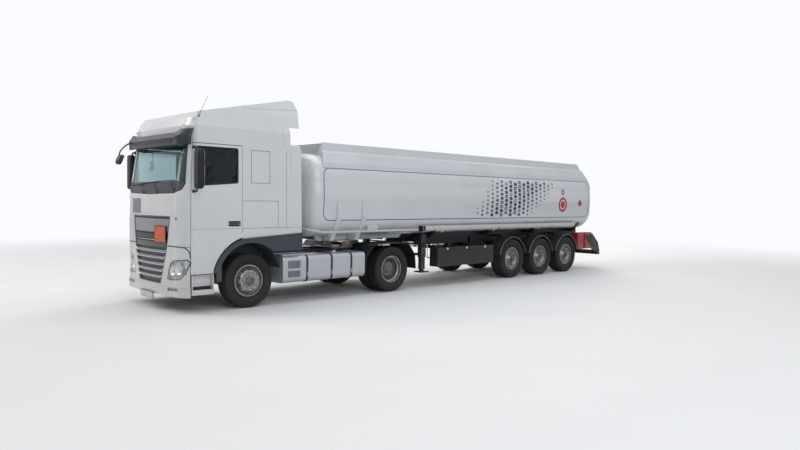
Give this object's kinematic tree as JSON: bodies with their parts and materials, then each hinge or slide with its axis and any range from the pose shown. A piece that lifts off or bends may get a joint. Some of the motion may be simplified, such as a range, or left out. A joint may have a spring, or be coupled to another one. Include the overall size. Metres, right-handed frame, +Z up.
{
  "type": "articulated tanker truck",
  "caption": "Articulated tanker truck: sleeper-cab tractor with steered front wheels, hinged to a tank trailer with turning wheels, doors and hinged covers.",
  "frame": {"origin": "centre of the whole vehicle's box, on the ground", "axes": "-Y is the front, +X is the vehicle's left side, +Z is up"},
  "size_m": [3.09, 14.23, 3.985],
  "materials": {
    "chassis": "satin",
    "engine": "rough",
    "plate_steel": "greased",
    "cab_paint": "gloss",
    "glass": "gloss",
    "side_glass": "gloss",
    "lamp_glass": "gloss",
    "grille_dark": "satin",
    "smoked": "gloss",
    "black_plastic": "matte",
    "arch_plastic": "satin",
    "step_grey": "satin",
    "tank_alloy": "satin",
    "strap_rubber": "matte",
    "interior_plastic": "matte",
    "seat_cloth": "matte",
    "tank_paint": "gloss",
    "trailer_chassis": "satin",
    "tube_paint": "gloss",
    "box_black": "satin",
    "valve_alloy": "satin",
    "red_plastic": "gloss",
    "rim_steel": "satin",
    "tyre": "matte"
  },
  "bodies": {
    "tractor": {"tractor_frame": "chassis", "engine_block": "engine", "front_axle": "chassis", "drive_axle": "chassis", "coupling_plate": "plate_steel", "cab_shell": "cab_paint", "cab_roof": "cab_paint", "windscreen": "glass", "bumper": "cab_paint", "headlights": "lamp_glass", "grille": "grille_dark", "sun_visor": "smoked", "front_mirror": "black_plastic", "side_fairings": "cab_paint", "wheel_arches": "arch_plastic", "entry_steps": "step_grey", "fuel_tanks": "tank_alloy", "tank_straps": "strap_rubber", "drive_mudguards": "black_plastic", "dashboard": "interior_plastic", "seats": "seat_cloth", "bunk": "seat_cloth"},
    "trailer": {"tank": "tank_paint", "coaming": "tank_paint", "trailer_frame": "trailer_chassis", "landing_legs": "trailer_chassis", "trailer_axles": "trailer_chassis", "trailer_mudguards": "black_plastic", "side_tubes": "tube_paint", "side_box": "box_black", "outlet_valves": "valve_alloy", "extinguisher_boxes": "red_plastic", "rear_guard": "trailer_chassis", "rear_ladder": "valve_alloy"},
    "knuckle_left": {"knuckle_left": "chassis"},
    "front_wheel_left": {"front_rim_left": "rim_steel", "front_tyre_left": "tyre"},
    "drive_wheels_left": {"drive_rims_left": "rim_steel", "drive_tyres_left": "tyre"},
    "door_left": {"door_left": "cab_paint", "door_glass_left": "side_glass", "mirror_left": "black_plastic"},
    "knuckle_right": {"knuckle_right": "chassis"},
    "front_wheel_right": {"front_rim_right": "rim_steel", "front_tyre_right": "tyre"},
    "drive_wheels_right": {"drive_rims_right": "rim_steel", "drive_tyres_right": "tyre"},
    "door_right": {"door_right": "cab_paint", "door_glass_right": "side_glass", "mirror_right": "black_plastic"},
    "trailer_wheel_1_left": {"trailer_wheel_1_left": "tyre"},
    "trailer_wheel_1_right": {"trailer_wheel_1_right": "tyre"},
    "trailer_wheel_2_left": {"trailer_wheel_2_left": "tyre"},
    "trailer_wheel_2_right": {"trailer_wheel_2_right": "tyre"},
    "trailer_wheel_3_left": {"trailer_wheel_3_left": "tyre"},
    "trailer_wheel_3_right": {"trailer_wheel_3_right": "tyre"},
    "cover_1": {"tank_cover_1": "valve_alloy"},
    "cover_2": {"tank_cover_2": "valve_alloy"},
    "cover_3": {"tank_cover_3": "valve_alloy"}
  },
  "joints": [
    {"name": "coupling_pivot", "type": "hinge", "parent": "tractor", "child": "trailer", "pos_m": [0, -2.485, 1.15], "axis": [0, 0, 1], "range_deg": [-90, 90]},
    {"name": "steer_left", "type": "hinge", "parent": "tractor", "child": "knuckle_left", "pos_m": [0.89, -5.465, 0.46], "axis": [0, 0, 1], "range_deg": [-40, 40]},
    {"name": "front_spin_left", "type": "hinge", "parent": "knuckle_left", "child": "front_wheel_left", "pos_m": [1.04, -5.465, 0.507], "axis": [1, 0, 0], "continuous": true},
    {"name": "drive_spin_left", "type": "hinge", "parent": "tractor", "child": "drive_wheels_left", "pos_m": [0.91, -1.865, 0.507], "axis": [1, 0, 0], "continuous": true},
    {"name": "door_left_hinge", "type": "hinge", "parent": "tractor", "child": "door_left", "pos_m": [1.246, -6.643, 1.5], "axis": [0, 0, -1], "range_deg": [0, 75]},
    {"name": "steer_right", "type": "hinge", "parent": "tractor", "child": "knuckle_right", "pos_m": [-0.89, -5.465, 0.46], "axis": [0, 0, 1], "range_deg": [-40, 40]},
    {"name": "front_spin_right", "type": "hinge", "parent": "knuckle_right", "child": "front_wheel_right", "pos_m": [-1.04, -5.465, 0.507], "axis": [1, 0, 0], "continuous": true},
    {"name": "drive_spin_right", "type": "hinge", "parent": "tractor", "child": "drive_wheels_right", "pos_m": [-0.91, -1.865, 0.507], "axis": [1, 0, 0], "continuous": true},
    {"name": "door_right_hinge", "type": "hinge", "parent": "tractor", "child": "door_right", "pos_m": [-1.246, -6.643, 1.5], "axis": [0, 0, 1], "range_deg": [0, 75]},
    {"name": "trailer_spin_1_left", "type": "hinge", "parent": "trailer", "child": "trailer_wheel_1_left", "pos_m": [1.052, 2.585, 0.52], "axis": [1, 0, 0], "continuous": true},
    {"name": "trailer_spin_1_right", "type": "hinge", "parent": "trailer", "child": "trailer_wheel_1_right", "pos_m": [-1.052, 2.585, 0.52], "axis": [1, 0, 0], "continuous": true},
    {"name": "trailer_spin_2_left", "type": "hinge", "parent": "trailer", "child": "trailer_wheel_2_left", "pos_m": [1.052, 3.895, 0.52], "axis": [1, 0, 0], "continuous": true},
    {"name": "trailer_spin_2_right", "type": "hinge", "parent": "trailer", "child": "trailer_wheel_2_right", "pos_m": [-1.052, 3.895, 0.52], "axis": [1, 0, 0], "continuous": true},
    {"name": "trailer_spin_3_left", "type": "hinge", "parent": "trailer", "child": "trailer_wheel_3_left", "pos_m": [1.052, 5.205, 0.52], "axis": [1, 0, 0], "continuous": true},
    {"name": "trailer_spin_3_right", "type": "hinge", "parent": "trailer", "child": "trailer_wheel_3_right", "pos_m": [-1.052, 5.205, 0.52], "axis": [1, 0, 0], "continuous": true},
    {"name": "cover_1_hinge", "type": "hinge", "parent": "trailer", "child": "cover_1", "pos_m": [0, -2.123, 3.102], "axis": [-1, 0, 0], "range_deg": [0, 110]},
    {"name": "cover_2_hinge", "type": "hinge", "parent": "trailer", "child": "cover_2", "pos_m": [0, 1.427, 3.102], "axis": [-1, 0, 0], "range_deg": [0, 110]},
    {"name": "cover_3_hinge", "type": "hinge", "parent": "trailer", "child": "cover_3", "pos_m": [0, 4.977, 3.102], "axis": [-1, 0, 0], "range_deg": [0, 110]}
  ],
  "couplings": [
    {"joint": "steer_right", "follows": "steer_left", "ratio": 1}
  ]
}
